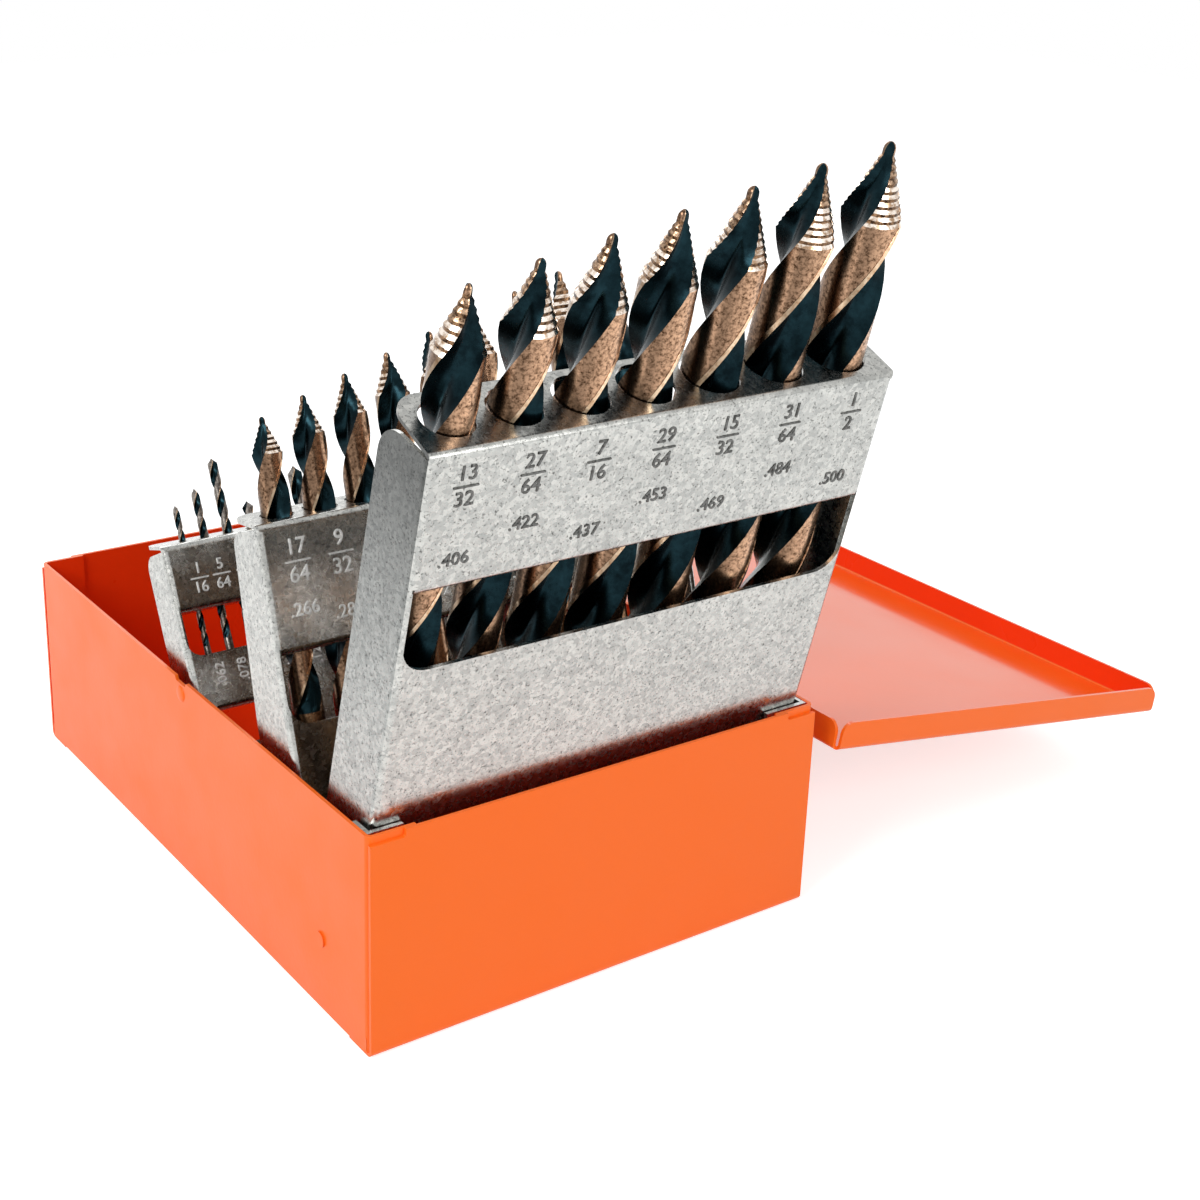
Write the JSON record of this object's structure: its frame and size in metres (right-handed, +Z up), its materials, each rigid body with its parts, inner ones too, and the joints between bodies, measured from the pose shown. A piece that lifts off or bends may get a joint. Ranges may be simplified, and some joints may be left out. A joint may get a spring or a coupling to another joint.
{
  "type": "drill bit case",
  "caption": "Folded-sheet drill bit case with a side-hinged lid and fold-up racks of fractional twist drills.",
  "frame": {"origin": "centre of the base box's bottom face", "axes": "+Z up out of the open case, +X towards the hinge and lid side, +Y from the front rack towards the back"},
  "size_m": [0.2385, 0.1954, 0.1796],
  "materials": {
    "base_paint": "gloss orange enamel on sheet steel",
    "lid_paint": "gloss orange enamel on sheet steel",
    "rack_zinc": "spangled zinc-plated sheet steel",
    "bracket_zinc": "zinc-plated steel",
    "hinge_steel": "plated steel",
    "drill_bronze": "bronze oxide on high-speed steel",
    "drill_black": "dark oxide on high-speed steel"
  },
  "bodies": {
    "base": {"base_box": "base_paint", "side_bracket_left": "bracket_zinc", "side_bracket_right": "bracket_zinc", "bracket_rivets": "base_paint", "front_rack_studs": "bracket_zinc", "middle_rack_studs": "bracket_zinc", "rear_rack_studs": "bracket_zinc", "base_hinge_leaf": "hinge_steel", "hinge_pin": "hinge_steel"},
    "lid": {"lid": "lid_paint", "lid_hinge_leaf": "hinge_steel"},
    "front_rack": {"front_rack": "rack_zinc"},
    "middle_rack": {"middle_rack": "rack_zinc"},
    "rear_rack": {"rear_rack": "rack_zinc"},
    "drill_1_16": {"bit_1_16": "drill_black"},
    "drill_5_64": {"bit_5_64": "drill_black"},
    "drill_3_32": {"bit_3_32": "drill_black"},
    "drill_7_64": {"bit_7_64": "drill_black"},
    "drill_1_8": {"bit_1_8": "drill_black"},
    "drill_9_64": {"bit_9_64": "drill_black"},
    "drill_5_32": {"bit_5_32": "drill_black"},
    "drill_11_64": {"bit_11_64": "drill_black"},
    "drill_3_16": {"bit_3_16": "drill_black"},
    "drill_13_64": {"bit_13_64": "drill_black"},
    "drill_7_32": {"bit_7_32": "drill_black"},
    "drill_15_64": {"bit_15_64": "drill_black"},
    "drill_1_4": {"bit_1_4": "drill_black"},
    "drill_17_64": {"bit_17_64": "drill_bronze"},
    "drill_9_32": {"bit_9_32": "drill_bronze"},
    "drill_19_64": {"bit_19_64": "drill_bronze"},
    "drill_5_16": {"bit_5_16": "drill_bronze"},
    "drill_21_64": {"bit_21_64": "drill_bronze"},
    "drill_11_32": {"bit_11_32": "drill_bronze"},
    "drill_23_64": {"bit_23_64": "drill_bronze"},
    "drill_3_8": {"bit_3_8": "drill_bronze"},
    "drill_25_64": {"bit_25_64": "drill_bronze"},
    "drill_13_32": {"bit_13_32": "drill_bronze"},
    "drill_27_64": {"bit_27_64": "drill_bronze"},
    "drill_7_16": {"bit_7_16": "drill_bronze"},
    "drill_29_64": {"bit_29_64": "drill_bronze"},
    "drill_15_32": {"bit_15_32": "drill_bronze"},
    "drill_31_64": {"bit_31_64": "drill_bronze"},
    "drill_1_2": {"bit_1_2": "drill_bronze"}
  },
  "joints": [
    {"name": "lid_hinge", "type": "hinge", "parent": "base", "child": "lid", "pos_m": [0.0617, 0, 0.0442], "axis": [0, 1, 0], "range_deg": [-99.3, 0]},
    {"name": "front_rack_fold", "type": "hinge", "parent": "base", "child": "front_rack", "pos_m": [0, -0.07047, 0.038], "axis": [1, 0, 0], "range_deg": [-104.46, 0]},
    {"name": "middle_rack_fold", "type": "hinge", "parent": "base", "child": "middle_rack", "pos_m": [0, -0.05204, 0.0212], "axis": [1, 0, 0], "range_deg": [-72.7, 0]},
    {"name": "rear_rack_fold", "type": "hinge", "parent": "base", "child": "rear_rack", "pos_m": [0, -0.01603, 0.0072], "axis": [1, 0, 0], "range_deg": [-63.5, 0]},
    {"name": "drill_1_16_lift", "type": "slide", "parent": "rear_rack", "child": "drill_1_16", "axis": [0, 0.4462, 0.8949], "range_m": [0, 0.036]},
    {"name": "drill_5_64_lift", "type": "slide", "parent": "rear_rack", "child": "drill_5_64", "axis": [0, 0.4462, 0.8949], "range_m": [0, 0.036]},
    {"name": "drill_3_32_lift", "type": "slide", "parent": "rear_rack", "child": "drill_3_32", "axis": [0, 0.4462, 0.8949], "range_m": [0, 0.036]},
    {"name": "drill_7_64_lift", "type": "slide", "parent": "rear_rack", "child": "drill_7_64", "axis": [0, 0.4462, 0.8949], "range_m": [0, 0.057]},
    {"name": "drill_1_8_lift", "type": "slide", "parent": "rear_rack", "child": "drill_1_8", "axis": [0, 0.4462, 0.8949], "range_m": [0, 0.057]},
    {"name": "drill_9_64_lift", "type": "slide", "parent": "rear_rack", "child": "drill_9_64", "axis": [0, 0.4462, 0.8949], "range_m": [0, 0.057]},
    {"name": "drill_5_32_lift", "type": "slide", "parent": "rear_rack", "child": "drill_5_32", "axis": [0, 0.4462, 0.8949], "range_m": [0, 0.075]},
    {"name": "drill_11_64_lift", "type": "slide", "parent": "rear_rack", "child": "drill_11_64", "axis": [0, 0.4462, 0.8949], "range_m": [0, 0.075]},
    {"name": "drill_3_16_lift", "type": "slide", "parent": "rear_rack", "child": "drill_3_16", "axis": [0, 0.4462, 0.8949], "range_m": [0, 0.075]},
    {"name": "drill_13_64_lift", "type": "slide", "parent": "rear_rack", "child": "drill_13_64", "axis": [0, 0.4462, 0.8949], "range_m": [0, 0.075]},
    {"name": "drill_7_32_lift", "type": "slide", "parent": "rear_rack", "child": "drill_7_32", "axis": [0, 0.4462, 0.8949], "range_m": [0, 0.075]},
    {"name": "drill_15_64_lift", "type": "slide", "parent": "rear_rack", "child": "drill_15_64", "axis": [0, 0.4462, 0.8949], "range_m": [0, 0.075]},
    {"name": "drill_1_4_lift", "type": "slide", "parent": "rear_rack", "child": "drill_1_4", "axis": [0, 0.4462, 0.8949], "range_m": [0, 0.075]},
    {"name": "drill_17_64_lift", "type": "slide", "parent": "middle_rack", "child": "drill_17_64", "axis": [0, 0.2974, 0.9548], "range_m": [0, 0.081]},
    {"name": "drill_9_32_lift", "type": "slide", "parent": "middle_rack", "child": "drill_9_32", "axis": [0, 0.2974, 0.9548], "range_m": [0, 0.081]},
    {"name": "drill_19_64_lift", "type": "slide", "parent": "middle_rack", "child": "drill_19_64", "axis": [0, 0.2974, 0.9548], "range_m": [0, 0.081]},
    {"name": "drill_5_16_lift", "type": "slide", "parent": "middle_rack", "child": "drill_5_16", "axis": [0, 0.2974, 0.9548], "range_m": [0, 0.081]},
    {"name": "drill_21_64_lift", "type": "slide", "parent": "middle_rack", "child": "drill_21_64", "axis": [0, 0.2974, 0.9548], "range_m": [0, 0.081]},
    {"name": "drill_11_32_lift", "type": "slide", "parent": "middle_rack", "child": "drill_11_32", "axis": [0, 0.2974, 0.9548], "range_m": [0, 0.081]},
    {"name": "drill_23_64_lift", "type": "slide", "parent": "middle_rack", "child": "drill_23_64", "axis": [0, 0.2974, 0.9548], "range_m": [0, 0.081]},
    {"name": "drill_3_8_lift", "type": "slide", "parent": "middle_rack", "child": "drill_3_8", "axis": [0, 0.2974, 0.9548], "range_m": [0, 0.081]},
    {"name": "drill_25_64_lift", "type": "slide", "parent": "middle_rack", "child": "drill_25_64", "axis": [0, 0.2974, 0.9548], "range_m": [0, 0.081]},
    {"name": "drill_13_32_lift", "type": "slide", "parent": "front_rack", "child": "drill_13_32", "axis": [0, -0.2497, 0.9683], "range_m": [0, 0.103]},
    {"name": "drill_27_64_lift", "type": "slide", "parent": "front_rack", "child": "drill_27_64", "axis": [0, -0.2497, 0.9683], "range_m": [0, 0.103]},
    {"name": "drill_7_16_lift", "type": "slide", "parent": "front_rack", "child": "drill_7_16", "axis": [0, -0.2497, 0.9683], "range_m": [0, 0.103]},
    {"name": "drill_29_64_lift", "type": "slide", "parent": "front_rack", "child": "drill_29_64", "axis": [0, -0.2497, 0.9683], "range_m": [0, 0.103]},
    {"name": "drill_15_32_lift", "type": "slide", "parent": "front_rack", "child": "drill_15_32", "axis": [0, -0.2497, 0.9683], "range_m": [0, 0.103]},
    {"name": "drill_31_64_lift", "type": "slide", "parent": "front_rack", "child": "drill_31_64", "axis": [0, -0.2497, 0.9683], "range_m": [0, 0.103]},
    {"name": "drill_1_2_lift", "type": "slide", "parent": "front_rack", "child": "drill_1_2", "axis": [0, -0.2497, 0.9683], "range_m": [0, 0.103]}
  ],
  "couplings": [
    {"joint": "middle_rack_fold", "follows": "front_rack_fold", "ratio": 0.6959},
    {"joint": "rear_rack_fold", "follows": "front_rack_fold", "ratio": 0.6078}
  ]
}
